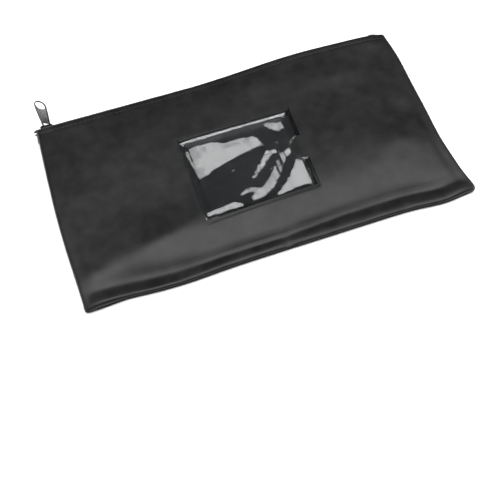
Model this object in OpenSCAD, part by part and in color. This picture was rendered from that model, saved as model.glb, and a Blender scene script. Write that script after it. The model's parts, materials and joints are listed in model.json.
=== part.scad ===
// Zippered cash deposit bag, lying flat on its back.
// +X runs along the zipper, +Y from the bottom seam to the mouth, +Z up.
// The origin is the centre of the back panel's flat resting face.

/* [Bag] */
// Length along the zipper
bag_length = 279.4; // [240:0.1:320]
// Height from the bottom seam to the mouth
bag_height = 152.4; // [140:0.1:180]
// Thickness of the leatherette
panel_t = 1.1; // [0.8:0.1:1.4]
// Height of the front rim above the resting face
rim_top = 11.5; // [11.4:0.1:13]
// Extra height of the puffed middle
crown = 5; // [2:0.5:8]

/* [Card window] */
// Width of the clear pocket
window_w = 85.4; // [60:0.2:100]
// Height of the clear pocket
window_h = 71.2; // [50:0.2:80]
// Centre of the pocket along the zipper
window_x = -2.6; // [-20:0.1:20]
// Centre of the pocket above the bag's middle
window_y = -6.2; // [-20:0.1:10]
// Radius of the thumb notch in the pocket's mouth
notch_r = 10.2; // [6:0.2:14]

/* [Zipper] */
// Spacing of the coil's turns
coil_pitch = 1.27; // [1.1:0.01:1.5]
// Width of the closed chain
chain_w = 4.3; // [4.2:0.1:4.5]
// Thickness of the woven tape
tape_t = 0.4; // [0.3:0.05:0.5]
// Distance that the slider travels to open the bag
slider_travel = 252; // [100:1:252]

/* [Slider and pull] */
// Length of the slider
slider_l = 9.4; // [9:0.1:10]
// Width of the slider's nose
slider_w = 7.5; // [7.4:0.1:7.6]
// Length of the pull from its crossbar to its tip
pull_l = 29.5; // [20:0.5:32]
// Outer width of the pull's finger ring
pull_ring_w = 8.8; // [8:0.2:11]
// Turn of the pull on its loose bridge
pull_yaw = -29; // [-50:1:-10]
// Sideways lean of the standing pull
pull_lean = 3.5; // [-15:0.5:10]

/* [Hidden] */
$fn = 32;

half_l = bag_length / 2;
half_h = bag_height / 2;

// Panels
seam_low = 2.6;           // the seam's height at the bottom corners
seam_high = rim_top / 2;  // and at the mouth
bottom_full = 5.4;        // thickness of the bag along its bottom roll
roll_r = 5;               // radius of the rolled edges
mouth_roll_r = 3;         // and at the mouth's corners
rim_lift = 0.45;          // the back rim stands clear of the table by this
side_share = 0.38;        // how much of the crown's height reaches the side rolls
side_run = 70;            // distance over which the crown rises from the sides
edge_steps = [0, 0.3, 1, 2.2, 4, 7];

// Card window
film_t = 0.35;
film_gap = 0.08;
weld_w = 3;
weld_h = 0.25;
card_gap = 0.35;
notch_y = window_y - 1.4;

// Zipper
tape_y = half_h + 0.8;      // middle of the tapes' standing strip
chain_z = rim_top / 2 + 0.2;
tape_edge = 1;              // from the chain's middle to each tape's inner edge
tape_w = 13;
leg_z = 3.9;                // from the chain's middle to the tapes' inside legs
coil_h = 1.6;
tooth_w = 0.5;
tooth_overlap = 0.3;
spine_in = 0.7;
cord_w = 0.9;
cord_h = 0.8;
thread_r = 0.15;
coil_left = -half_l + 0.6;
coil_right = half_l - 13.4;
tape_left = -half_l - 2.4;
tape_right = half_l - 0.6;
leg_end = half_l - 4;

// Slider
slider_x = -half_l + 6.8;   // middle of the slider when the bag is closed
plate_t = 0.9;
lip_t = 0.45;
tail_w = 5.9;
post_w = 1.2;
post_l = 2.6;
cavity_in = tape_y - tape_t / 2 - 0.25;
cavity_out = tape_y + tape_t / 2 + coil_h + 2 * thread_r + 0.2;
lip_in = tape_y + tape_t / 2 + 0.3;
bridge_gap = 2.1;
bridge_t = 0.7;
bridge_w = 1.2;
bridge_l = 8.2;
pull_axis_y = cavity_out + plate_t + bridge_gap + bridge_t / 2;
spread_max = post_w / 2 + tooth_overlap + 0.12;

// Pull
web_t = 0.6;
pull_rim_t = 0.8;
rim_w = 0.7;
eye_w = 4.6;
eye_low = -1.4;             // the eye reaches from here past the bridge
eye_high = 2.6;
base_w = eye_w + 2 * rim_w;
pull_low = eye_low - rim_w;
ring_l = 10.6;
flare_from = -7.3;          // the web's even flare is part of a longer curve from here

// Stitches
stitch_pitch = 3.4;
stitch_l = 2.6;
stitch_r = 0.2;
topstitch_y = half_h - 4.6;

function lerp(a, b, t) = a + (b - a) * t;
function smooth(t) = let (c = min(1, max(0, t))) c * c * (3 - 2 * c);
function rolled(d, r) = d >= r ? 1 : sqrt(1 - pow(1 - d / r, 2));
function up(y) = (y + half_h) / bag_height;
function seam_z(y) = lerp(seam_low, seam_high, up(y));
function edge(x, y) = rolled(half_l - abs(x), lerp(roll_r, mouth_roll_r, up(y)))
                    * rolled(y + half_h, roll_r);
function side_fullness(x, y) = lerp(lerp(side_share, 1, smooth((up(y) - 0.55) / 0.42)), 1,
                                    smooth((half_l - abs(x)) / side_run));
function full_z(y) = lerp(bottom_full, rim_top, up(y)) + crown * sin(180 * up(y));
function front_z(x, y) = seam_z(y) + (full_z(y) - seam_z(y)) * side_fullness(x, y) * edge(x, y);
function back_z(x, y) = seam_z(y) * (1 - edge(x, y)) + rim_lift * smooth((up(y) - 0.85) / 0.06)
                      * edge(x, y);

// Grid lines: close together on the rolls, wide apart between them
function spaced(a, b, n) = [for (i = [1:n - 1]) lerp(a, b, i / n)];
x_lines = concat([for (s = edge_steps) -half_l + s], spaced(-half_l + 7, half_l - 7, 15),
                 [for (i = [len(edge_steps) - 1:-1:0]) half_l - edge_steps[i]]);
y_lines = concat([for (s = edge_steps) -half_h + s], spaced(-half_h + 7, half_h, 14), [half_h]);

// A closed sheet between two grids of points, the first one on the upper side
module sheet(upper, lower) {
    ny = len(upper[0]);
    nx = len(upper);
    function at(i, j) = i * ny + j;
    low = nx * ny;
    points = [for (grid = [upper, lower], column = grid, p = column) p];
    top = [for (i = [0:nx - 2], j = [0:ny - 2])
        [at(i, j), at(i, j + 1), at(i + 1, j + 1), at(i + 1, j)]];
    rim = concat([for (j = [0:ny - 1]) at(0, j)], [for (i = [1:nx - 1]) at(i, ny - 1)],
                 [for (j = [ny - 2:-1:0]) at(nx - 1, j)], [for (i = [nx - 2:-1:1]) at(i, 0)]);
    quads = concat(top,
        [for (q = top) [low + q[3], low + q[2], low + q[1], low + q[0]]],
        [for (k = [0:len(rim) - 1]) let (a = rim[k], b = rim[(k + 1) % len(rim)])
            [b, a, low + a, low + b]]);
    polyhedron(points = points,
               faces = [for (q = quads, t = [[q[0], q[1], q[2]], [q[0], q[2], q[3]]]) t]);
}

function inset_x(x) = x * (half_l - panel_t) / half_l;
function inset_y(y) = half_h - (half_h - y) * (bag_height - panel_t) / bag_height;

module front_panel() {
    color([0.06, 0.06, 0.065])
        sheet([for (x = x_lines) [for (y = y_lines) [x, y, front_z(x, y)]]],
              [for (x = x_lines) [for (y = y_lines)
                  [inset_x(x), inset_y(y), seam_z(inset_y(y)) + max(0, front_z(x, y) - seam_z(y) - panel_t)]]]);
}

module back_panel() {
    color([0.05, 0.05, 0.055])
        sheet([for (x = x_lines) [for (y = y_lines)
                  [inset_x(x), inset_y(y), seam_z(inset_y(y)) - max(0, seam_z(y) - back_z(x, y) - panel_t)]]],
              [for (x = x_lines) [for (y = y_lines) [x, y, back_z(x, y)]]]);
}

// Clear film welded to the front panel along its top, left and bottom, open at the notched right
film_left = window_x - window_w / 2;
film_low = window_y - window_h / 2;
film_high = window_y + window_h / 2;
film_rows = concat([film_low, film_low + weld_w, film_low + weld_w + 0.3],
                   spaced(film_low + weld_w + 0.3, notch_y - notch_r, 3),
                   [for (i = [0:12]) notch_y - notch_r * cos(15 * i)],
                   spaced(notch_y + notch_r, film_high - weld_w - 0.3, 4),
                   [film_high - weld_w - 0.3, film_high - weld_w, film_high]);
function film_right(y) = window_x + window_w / 2
    - 0.82 * sqrt(max(0, pow(notch_r, 2) - pow(y - notch_y, 2)));
film_columns = [0, 0.012, 0.016, 0.1, 0.3, 0.5, 0.7, 0.9, 0.964, 0.968, 1];
function welded(s, y) = y <= film_low + weld_w || y >= film_high - weld_w || s <= 0.012;
function film_lift(s, y) = welded(s, y) ? 0 : card_gap;
function film_ridge(s, y) = welded(s, y) || s >= 0.968 ? weld_h : 0;

module card_window() {
    function grid(rise, ridge) = [for (s = film_columns) [for (y = film_rows)
        let (x = lerp(film_left, film_right(y), s))
        [x, y, front_z(x, y) + film_gap + film_lift(s, y) + rise + ridge * film_ridge(s, y)]]];
    color([0.8, 0.85, 0.9, 0.3]) sheet(grid(film_t, 1), grid(0, 0));
}

// Mirrors the front half of the zipper, drawn above the chain's middle, to the back
module half_of_zipper(side) {
    translate([0, 0, chain_z]) mirror([0, 0, side == "front" ? 0 : 1]) children();
}

// Standing strip with the coil, and a leg turned in under the hem and stitched to it
module zipper_tape(side) {
    bend = 0.6;
    outer = tape_y + tape_t / 2;
    leg_top = leg_z + tape_t;
    color([0.03, 0.03, 0.032]) half_of_zipper(side) union() {
        translate([tape_left, tape_y - tape_t / 2, tape_edge])
            cube([tape_right - tape_left, tape_t, leg_top - bend - tape_edge]);
        rotate([90, 0, 90]) linear_extrude(height = 2 * leg_end, center = true)
            polygon(concat(
                [[outer - tape_t, leg_top - bend - 0.2], [outer, leg_top - bend - 0.2]],
                [for (a = [0:15:90]) [outer - bend + bend * cos(a), leg_top - bend + bend * sin(a)]],
                [[outer - tape_w + leg_z, leg_top], [outer - tape_w + leg_z, leg_z]],
                [for (a = [90:-30:0]) [outer - bend + (bend - tape_t) * cos(a),
                                       leg_top - bend + (bend - tape_t) * sin(a)]]));
        // the tape's right end, folded back on itself
        translate([half_l - 12.6, outer, tape_edge - 0.9])
            cube([12, 2 * tape_t, leg_top - bend - tape_edge + 0.9]);
    }
}

// The chain is parted round the slider's post, and closed past its tail
function spread(x) = spread_max * (1 - smooth((x - (slider_x - slider_l / 2 + post_l + 0.9)) / 4.4));
function at_spread(x, z) = [x, z + spread(x)];
coil_outer = chain_w / 2;
bend_xs = concat([for (x = [coil_left:1:slider_x + 5]) x], [coil_right]);

module coil(side, phase) {
    first = coil_left + 0.4 + phase * coil_pitch;
    teeth = [for (x = [first:coil_pitch:coil_right - 0.4]) x];
    outline = concat(
        [at_spread(coil_left, spine_in)],
        [for (x = teeth, c = [[-1, spine_in], [-1, -tooth_overlap], [1, -tooth_overlap], [1, spine_in]])
            let (z = c[1] + spread(x)) [x + c[0] * tooth_w / 2, z]],
        [at_spread(coil_right, spine_in)],
        [for (i = [len(bend_xs) - 1:-1:0]) at_spread(bend_xs[i], coil_outer)]);
    color([0.02, 0.02, 0.022]) half_of_zipper(side) difference() {
        translate([0, tape_y + tape_t / 2 + coil_h, 0]) rotate([90, 0, 0])
            linear_extrude(height = coil_h) polygon(outline);
        coil_channel(0.05);
    }
}

module coil_channel(slack) {
    middle = (spine_in + coil_outer) / 2;
    reach = slack > 0 ? 1 : 0;
    half = cord_w / 2 + slack;
    xs = concat([bend_xs[0] - reach], [for (x = bend_xs) x], [coil_right + reach]);
    translate([0, tape_y + tape_t / 2 + (coil_h + cord_h) / 2 + slack, 0]) rotate([90, 0, 0])
        linear_extrude(height = cord_h + 2 * slack)
            polygon(concat([for (x = xs) at_spread(x, middle - half)],
                           [for (i = [len(xs) - 1:-1:0]) at_spread(xs[i], middle + half)]));
}

module coil_cord(side) {
    color([0.04, 0.04, 0.042]) half_of_zipper(side) coil_channel(0);
}

// Thread laid over the coil, which sews it to the tape
module coil_stitching(side) {
    xs = [for (x = [coil_left + 1:2 * coil_pitch:coil_right - 2.6]) x];
    color([0.05, 0.05, 0.05]) half_of_zipper(side)
        for (x = xs)
            translate([x, tape_y + tape_t / 2 + coil_h + thread_r + 0.02,
                       (spine_in + coil_outer) / 2 + spread(x + coil_pitch)])
                rotate([0, 90, 0]) cylinder(h = 2.1, r = thread_r);
}

// A row of stitches that lie on the hem, seen from outside
module topstitch(side) {
    count = floor((2 * leg_end - 4) / stitch_pitch);
    color([0.04, 0.04, 0.04])
        for (i = [0:count])
            let (x = (i - count / 2) * stitch_pitch,
                 z = side == "front"
                     ? front_z(x, topstitch_y) + stitch_r + 0.03
                     : back_z(x, topstitch_y) - stitch_r - 0.03)
                translate([x - stitch_l / 2, topstitch_y, z]) rotate([0, 90, 0])
                    cylinder(h = stitch_l, r = stitch_r);
}

// Lockstitches inside the turned seams, seen only from inside the bag
module side_seam_thread(side) {
    count = floor((bag_height - 16) / stitch_pitch);
    color([0.04, 0.04, 0.04])
        for (i = [0:count])
            let (y = -half_h + 6 + i * stitch_pitch)
                translate([side * (half_l - panel_t - 3.6), y, seam_z(y)])
                    rotate([-90, 0, 0]) cylinder(h = stitch_l, r = stitch_r);
}

module bottom_seam_thread() {
    count = floor((bag_length - 26) / stitch_pitch);
    color([0.04, 0.04, 0.04])
        for (i = [0:count])
            translate([(i - count / 2) * stitch_pitch - stitch_l / 2, -half_h + panel_t + 3.6,
                       seam_z(-half_h + panel_t + 3.6)])
                rotate([0, 90, 0]) cylinder(h = stitch_l, r = stitch_r);
}

// Threads laid across both tapes, which stop the slider
module end_tack(x, y, rows) {
    color([0.05, 0.05, 0.05])
        for (i = [0:rows - 1])
            translate([x + i * 0.42, y + 0.22, chain_z - 3]) cylinder(h = 6, r = 0.2);
}

module left_end_tack() { end_tack(tape_left + 0.6, tape_y + tape_t / 2, 4); }
module right_end_tack() { end_tack(half_l - 11.6, tape_y + tape_t * 2.5, 6); }

// Plan of the slider: a wide nose to the left and a narrow tail to the right
function slider_plan(inset) = let (n = slider_w / 2 - inset, t = tail_w / 2 - inset, h = slider_l / 2)
    [[-h, -n + 0.8], [-h + 0.8, -n], [-h + 3.4, -n], [h - 1.6, -t], [h, -t + 0.6],
     [h, t - 0.6], [h - 1.6, t], [-h + 3.4, n], [-h + 0.8, n], [-h, n - 0.8]];

module slider_layer(y0, y1, inset) {
    translate([slider_x, y1, chain_z]) rotate([90, 0, 0])
        linear_extrude(height = y1 - y0) polygon(slider_plan(inset));
}

module slider_body() {
    over = 0.2;
    outer_face = cavity_out + plate_t;
    color([0.05, 0.05, 0.055]) union() {
        slider_layer(cavity_in - plate_t, cavity_in, 0);
        slider_layer(cavity_out, outer_face, 0);
        difference() {
            slider_layer(lip_in, cavity_out + over, 0);
            translate([slider_x, cavity_out, chain_z]) rotate([90, 0, 0])
                linear_extrude(height = cavity_out - lip_in + over) polygon(concat(
                    [[-slider_l / 2 - 1, -slider_w / 2 + lip_t], [-slider_l / 2 + 3.4, -slider_w / 2 + lip_t],
                     [slider_l / 2 + 1, -tail_w / 2 + lip_t], [slider_l / 2 + 1, tail_w / 2 - lip_t],
                     [-slider_l / 2 + 3.4, slider_w / 2 - lip_t], [-slider_l / 2 - 1, slider_w / 2 - lip_t]]));
        }
        // the post that parts the chain
        translate([slider_x - slider_l / 2 + 0.5 + post_w / 2, cavity_out + over, chain_z])
            rotate([90, 0, 0]) linear_extrude(height = cavity_out - cavity_in + 2 * over) union() {
                circle(d = post_w);
                polygon([[0, -post_w / 2], [post_l - post_w, -0.2], [post_l - post_w, 0.2], [0, post_w / 2]]);
            }
        slider_bridge(outer_face);
    }
}

// Two bent legs and a bar between them, with round edges that the pull turns on
module slider_bridge(foot_y) {
    over = 0.2;
    top_y = foot_y + bridge_gap + bridge_t;
    bar_l = bridge_l - 2.8;
    for (side = [0, 1])
        translate([slider_x, 0, chain_z]) mirror([side, 0, 0]) translate([0, 0, -bridge_w / 2])
            linear_extrude(height = bridge_w)
                polygon([[bar_l / 2, top_y], [bridge_l / 2 - 1.1, top_y],
                         [bridge_l / 2 - 0.35, top_y - 0.35], [bridge_l / 2, top_y - 1.1],
                         [bridge_l / 2, foot_y - over], [bridge_l / 2 - 0.8, foot_y - over],
                         [bridge_l / 2 - 0.8, top_y - 1.4], [bar_l / 2, top_y - bridge_t]]);
    translate([slider_x, top_y - bridge_t / 2, chain_z]) intersection() {
        cube([bar_l + 2 * over, bridge_t, bridge_w], center = true);
        rotate([0, 90, 0]) cylinder(h = bar_l + 1, r = bridge_w / 2 + 0.03, center = true);
    }
}

// Half width of the pull at a distance from the bridge: base, flaring web and round ring
ring_mid = pull_l + pull_low - ring_l / 2;
function pull_half(l) = l < pull_low + 1.9
    ? base_w / 2 - 1.9 + sqrt(max(0, 1.9 * 1.9 - pow(pull_low + 1.9 - l, 2)))
    : l < ring_mid
        ? lerp(base_w / 2, pull_ring_w / 2, smooth((l - flare_from) / (ring_mid - flare_from)))
        : pull_ring_w / 2 * sqrt(max(0, 1 - pow((l - ring_mid) / (ring_l / 2), 2)));
pull_steps = concat([for (a = [0:15:90]) pull_low + 1.9 - 1.9 * cos(a)],
                    [for (i = [1:10]) lerp(pull_low + 1.9, ring_mid, i / 10)],
                    [for (a = [15:15:90]) ring_mid + ring_l / 2 * sin(a)]);

module pull_outline(inset) {
    n = len(pull_steps);
    half = [for (l = pull_steps) max(0.02, pull_half(l) - inset)];
    squeeze = (pull_l - 2 * inset) / pull_l;
    function along(l) = pull_low + inset + (l - pull_low) * squeeze;
    polygon(concat([for (i = [0:n - 1]) [half[i], along(pull_steps[i])]],
                   [for (i = [n - 1:-1:0]) [-half[i], along(pull_steps[i])]]));
}

module pull_holes() {
    translate([0, (eye_low + eye_high) / 2]) union() {
        square([eye_w, eye_high - eye_low - 0.8], center = true);
        square([eye_w - 0.8, eye_high - eye_low], center = true);
    }
    translate([0, ring_mid + 0.2]) union() {
        circle(d = pull_ring_w - 2 * rim_w - 0.4);
        translate([0, 0.9]) circle(d = pull_ring_w - 2 * rim_w - 0.6);
        translate([0, -0.8]) circle(d = pull_ring_w - 2 * rim_w - 1);
    }
}

module pull_tab() {
    color([0.05, 0.05, 0.055])
        translate([slider_x, pull_axis_y, chain_z]) rotate([0, pull_lean, pull_yaw]) rotate([90, 0, 0])
            union() {
                linear_extrude(height = web_t, center = true) difference() {
                    pull_outline(0);
                    pull_holes();
                }
                linear_extrude(height = pull_rim_t, center = true) difference() {
                    pull_outline(0);
                    pull_outline(rim_w);
                    pull_holes();
                }
            }
}

front_panel();
back_panel();
card_window();
zipper_tape("front");  // front_zipper_tape
zipper_tape("back");  // back_zipper_tape
coil("front", 0);  // front_coil
coil("back", 0.5);  // back_coil
coil_cord("front");  // front_coil_cord
coil_cord("back");  // back_coil_cord
coil_stitching("front");  // front_coil_stitching
coil_stitching("back");  // back_coil_stitching
topstitch("front");  // front_topstitch
topstitch("back");  // back_topstitch
side_seam_thread(-1);  // left_seam_thread
side_seam_thread(1);  // right_seam_thread
bottom_seam_thread();
left_end_tack();
right_end_tack();
slider_body();
pull_tab();
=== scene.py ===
"""Zippered cash deposit bag, lying on its back: leather panels, card window, zipper, slider and pull."""
import json
import math
import random

import bmesh
import bpy
import numpy as np
from bpy.props import FloatProperty, FloatVectorProperty, IntProperty, PointerProperty
from mathutils import Matrix, Vector, noise

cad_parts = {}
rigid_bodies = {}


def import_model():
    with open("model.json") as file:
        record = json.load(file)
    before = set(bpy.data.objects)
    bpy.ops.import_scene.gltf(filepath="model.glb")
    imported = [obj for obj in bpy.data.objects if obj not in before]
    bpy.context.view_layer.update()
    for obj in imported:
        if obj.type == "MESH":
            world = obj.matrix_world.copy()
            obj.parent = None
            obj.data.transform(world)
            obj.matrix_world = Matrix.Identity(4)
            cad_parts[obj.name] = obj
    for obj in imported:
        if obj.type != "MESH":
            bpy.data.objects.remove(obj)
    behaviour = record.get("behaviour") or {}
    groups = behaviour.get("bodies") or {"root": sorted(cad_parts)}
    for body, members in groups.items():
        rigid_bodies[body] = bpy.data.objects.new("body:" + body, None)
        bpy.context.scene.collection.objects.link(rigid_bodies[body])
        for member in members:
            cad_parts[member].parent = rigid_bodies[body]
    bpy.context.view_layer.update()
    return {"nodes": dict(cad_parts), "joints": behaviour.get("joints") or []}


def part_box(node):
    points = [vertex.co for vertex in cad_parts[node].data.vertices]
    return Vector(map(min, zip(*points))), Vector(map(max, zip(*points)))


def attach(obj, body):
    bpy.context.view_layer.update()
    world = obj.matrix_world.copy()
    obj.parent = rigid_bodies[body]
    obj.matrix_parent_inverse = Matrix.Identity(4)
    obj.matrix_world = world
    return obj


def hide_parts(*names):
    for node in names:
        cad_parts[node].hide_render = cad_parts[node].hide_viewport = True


bl_info = {
    "name": "Deposit Bag",
    "version": (1, 0, 0),
    "blender": (4, 5, 0),
    "location": "View3D > Sidebar > Deposit Bag",
    "description": "Builds a zippered cash deposit bag round its packed frame",
    "category": "Add Mesh",
}

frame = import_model()

MM = 0.001


def box_mm(node):
    """A node's lowest and highest corners in millimetres."""
    low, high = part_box(node)
    return np.array(low) / MM, np.array(high) / MM


PANEL_HIGH = box_mm("front_panel")[1]
TAPE_LOW, TAPE_HIGH = box_mm("front_zipper_tape")
COIL_LOW, COIL_HIGH = box_mm("front_coil")
SLIDER_LOW = box_mm("slider_body")[0]
PULL_PIVOT = np.array(next(j["pos_m"] for j in frame["joints"] if j["name"] == "pull_swing")) / MM

HALF_L, HALF_H = PANEL_HIGH[:2]
CHAIN_Z = PULL_PIVOT[2]
LEG_TOP = TAPE_HIGH[2]
# Height of the side seams at the bottom and at the mouth
SEAM_LOW = 2.6
SEAM_HIGH = (LEG_TOP + 1.25) / 2


# ---------------------------------------------------------------- sizes and colours

def length(name, description, default, low, high):
    """A property for a length, given in millimetres and kept in metres."""
    return FloatProperty(name=name, description=description, default=default * MM,
                         min=low * MM, max=high * MM, precision=5, unit="LENGTH")


def colour(name, description, default):
    return FloatVectorProperty(name=name, description=description, default=default,
                               min=0, max=1, size=3, subtype="COLOR")


class BagLeather(bpy.types.PropertyGroup):
    thickness: length("Leather thickness", "Thickness of the leatherette", 0.55, 0.3, 1.2)
    roll: length("Seam roll", "Radius of the turned seams' rolls", 2.4, 1, 4)
    allowance: length("Seam allowance", "Cloth turned in past the seams", 6, 3, 10)
    hem: length("Hem", "Depth of the hem at the mouth", 9, 5, 14)
    hem_t: length("Hem thickness", "Outside thickness of the folded hem", 1.25, 1.1, 2)
    tone: colour("Leather colour", "Darkest tone of the leatherette", (0.005, 0.005, 0.0053))
    worn: colour("Rubbed colour", "Tone of the leatherette where it is handled", (0.012, 0.012, 0.0125))
    roughness: FloatProperty(name="Leather roughness", description="Mean roughness of the finish",
                             default=0.35, min=0.1, max=1)


class BagWindow(bpy.types.PropertyGroup):
    film: length("Film thickness", "Thickness of the clear vinyl", 0.3, 0.15, 0.6)
    weld: length("Weld width", "Width of the double welded band", 3, 2, 5)
    notch: length("Notch radius", "Radius of the thumb notch", 10.2, 6, 14)
    slope: FloatProperty(name="Wrinkle slope", description="Slope of the film's wrinkles",
                         default=0.155, min=0, max=0.4)
    tint: colour("Vinyl colour", "Tint of the clear vinyl", (0.94, 0.96, 0.97))


class BagZipper(bpy.types.PropertyGroup):
    pitch: length("Coil pitch", "Spacing of the coil's turns", 1.27, 1, 2)
    wire: length("Coil wire", "Radius of the nylon wire", 0.27, 0.15, 0.4)
    tape: colour("Tape colour", "Colour of the woven tape", (0.010, 0.010, 0.011))
    nylon: colour("Coil colour", "Colour of the nylon coil", (0.008, 0.008, 0.009))
    thread: colour("Thread colour", "Colour of every thread", (0.006, 0.006, 0.0065))
    metal: colour("Metal colour", "Colour of the slider and of the pull's rims", (0.035, 0.035, 0.037))
    # The web's colour is far lighter than the rims': a painted reflection of the bright surroundings on its
    # flat faces.
    web: colour("Web colour", "Colour of the brushed web inside the pull's rims", (0.19, 0.19, 0.195))
    stitch_pitch: length("Stitch pitch", "Spacing of the topstitches", 3.4, 2, 5)
    stitch: length("Stitch length", "Length of thread that shows in a stitch", 2.7, 1.5, 4)
    stitch_rows: IntProperty(name="Tack threads", description="Threads in each end tack",
                             default=5, min=3, max=9)


def sizes(group):
    """A property group's lengths in millimetres, by name."""
    return {p.identifier: getattr(group, p.identifier) / MM for p in group.bl_rna.properties
            if getattr(p, "unit", "NONE") == "LENGTH"}


# ---------------------------------------------------------------- shapes shared by the pieces

def lerp(a, b, t):
    return a + (b - a) * t


def smooth(t):
    t = np.clip(t, 0, 1)
    return t * t * (3 - 2 * t)


def bump(d, width):
    """A bell of height 1 at d = 0."""
    return np.exp(-(d / width) ** 2)


def up(y):
    return (y + HALF_H) / (2 * HALF_H)


def seam_z(y):
    return lerp(SEAM_LOW, SEAM_HIGH, up(y))


# How the empty bag lies: heights of the front over a net of points, from the mouth down to the bottom seam
NET_X = np.array([-139.7, -95, -48, 0, 48, 95, 139.7])
NET_Y = np.array([76.2, 62, 45, 10, -20, -45, -62, -76.2])
NET_Z = np.array([
    [11.3, 11.5, 11.5, 11.5, 11.5, 11.5, 11.3],
    [10.4, 11.8, 12.5, 12.7, 12.3, 11.9, 11.2],
    [9.8, 11.0, 12.2, 12.2, 11.4, 11.2, 10.4],
    [8.9, 9.3, 10.9, 11.0, 10.6, 10.6, 9.2],
    [7.9, 8.7, 10.4, 10.7, 11.0, 11.2, 8.3],
    [6.9, 9.0, 10.3, 10.5, 9.2, 9.0, 6.8],
    [6.2, 6.6, 7.0, 7.2, 6.2, 5.9, 5.6],
    [4.7, 5.3, 5.4, 5.2, 5.3, 5.4, 4.8]])
# Swells of the loose leatherette: place, height, half lengths along and across, turn in degrees
SWELLS = ((112, -22, 0.9, 24, 11, -22), (85, 50, 0.5, 24, 9, -8), (62, 0, 0.3, 20, 8, 0),
          (-85, -46, 0.9, 34, 9, 16), (-101, 36, 0.4, 22, 12, 10), (122, 82, 1.6, 24, 20, 0),
          (-117, 12, 0.3, 12, 9, 0), (-24, -60, 0.3, 18, 6, 0), (30, 64, 0.4, 26, 8, 0),
          (-134, -70, 3.0, 22, 21, 0), (131, -72, 1.5, 14, 15, 0), (60, 86, 2.0, 60, 15, 0),
          (123, 2, -0.5, 9, 8, -30))


def spline_weights(knots, at):
    """Weights of a smooth curve through values at the knots, a row for each place."""
    order = np.argsort(knots)
    k = knots[order]
    n = len(k)
    h = np.diff(k)
    a = np.eye(n)
    rhs = np.zeros((n, n))
    for i in range(1, n - 1):
        a[i, i - 1:i + 2] = h[i - 1], 2 * (h[i - 1] + h[i]), h[i]
        rhs[i, i - 1:i + 2] = 6 / h[i - 1], -6 / h[i - 1] - 6 / h[i], 6 / h[i]
    bend = np.linalg.solve(a, rhs)
    at = np.clip(at, k[0], k[-1])
    i = np.clip(np.searchsorted(k, at) - 1, 0, n - 2)
    t = (at - k[i]) / h[i]
    eye = np.eye(n)
    w = (eye[i] * (1 - t)[:, None] + eye[i + 1] * t[:, None]
         + (h[i] ** 2 / 6 * ((1 - t) ** 3 - (1 - t)))[:, None] * bend[i]
         + (h[i] ** 2 / 6 * (t ** 3 - t))[:, None] * bend[i + 1])
    out = np.zeros_like(w)
    out[:, order] = w
    return out


def between(knots_x, knots_y, values, x, y):
    """Values given over a net of knots (rows along y), smoothly carried to points x, y."""
    wx, wy = spline_weights(knots_x, x.ravel()), spline_weights(knots_y, y.ravel())
    return ((wy @ values) * wx).sum(1).reshape(x.shape)


def waves(x, y, size, seed):
    """Smooth noise from -1 to 1 with features of that size in millimetres."""
    flat = [noise.noise(Vector((a / size, b / size, seed))) for a, b in zip(x.ravel(), y.ravel())]
    return np.array(flat).reshape(x.shape)


# The hollow above the bottom seam: where along it, how far up, how deep and half as wide
HOLLOW = np.array([(-139, 11, 2.4, 7.6), (-100, 11, 3.1, 6.6), (-50, 9.6, 2.4, 3.8), (0, 9.2, 2.5, 3.5),
                   (45, 12.2, 2.6, 4.4), (100, 12.6, 2.7, 4.8), (139, 11, 1.2, 5)])
# Puckers that run up from the bottom seam: place along it, depth, half width, reach
PUCKERS = ((1, 1.1, 3.2, 8), (-34, 0.3, 3, 7), (-76, 0.35, 4, 9), (-112, 0.3, 3, 7),
           (27, 0.35, 3, 6), (58, 0.3, 4, 9), (88, 0.4, 3.5, 8), (118, 0.35, 3, 7))
FLAT_X, FLAT_Y, FLAT_W, FLAT_H = -3, -7, 50, 42  # the part held flat by the window's film
# The dish under the film: its left, right, bottom and top edges, its depth and the run of its sides
DISH_EDGES, DISH_DEPTH, DISH_RUN = (-46, 38, -41, 31), 2.6, 7
TOPSTITCH_IN = 4.6  # the topstitches' distance from the mouth's fold
slack = {}  # how far the simulated leatherette settled, over a grid


def held_flat(x, y):
    return smooth(1.6 - np.maximum(abs(x - FLAT_X) / FLAT_W, abs(y - FLAT_Y) / FLAT_H) * 1.2)


def dish(x, y):
    """How far the leatherette sinks away from the loose film, inside the weld."""
    left, right, bottom, top = DISH_EDGES
    inner = np.minimum(np.minimum(x - left, right - x), np.minimum(y - bottom, top - y))
    return DISH_DEPTH * smooth(inner / DISH_RUN)


def front_height(x, y):
    """Outside height of the front panel, before its seam rolls."""
    z = between(NET_X, NET_Y, NET_Z, x, y) - dish(x, y)
    from_bottom = y + HALF_H
    from_side = HALF_L - abs(x)
    loose = 1 - 0.8 * held_flat(x, y)
    inside = smooth(from_side / 22) * smooth(from_bottom / 16) * smooth((HALF_H - y) / 16)
    z = z + (0.35 * waves(x, y, 38, 1.5) + 0.14 * waves(x, y, 14, 7.5)) * inside * loose
    for cx, cy, rise, along, across, turn in SWELLS:
        c, s = math.cos(math.radians(turn)), math.sin(math.radians(turn))
        u, v = ((x - cx) * c + (y - cy) * s) / along, ((y - cy) * c - (x - cx) * s) / across
        z = z + rise * np.exp(-u ** 2 - v ** 2) * smooth(from_side / 10)
    reach, depth, wide = (np.interp(x, HOLLOW[:, 0], HOLLOW[:, k]) for k in (1, 2, 3))
    z = z - depth * bump(from_bottom - reach, wide) * smooth(from_side / 10)
    z = z - 0.35 * bump(from_side - 7, 3) * smooth(from_bottom / 12) * smooth((HALF_H - y) / 20)
    for place, depth, half, reach in PUCKERS:
        z = z - depth * bump(x - place, half) * smooth(1 - (from_bottom - 2) / reach)
    z = z - 0.12 * bump(HALF_H - y - TOPSTITCH_IN, 0.7)
    if slack:
        z = z + between(slack["x"], slack["y"], slack["z"], x, y) * inside * loose
    return z


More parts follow.
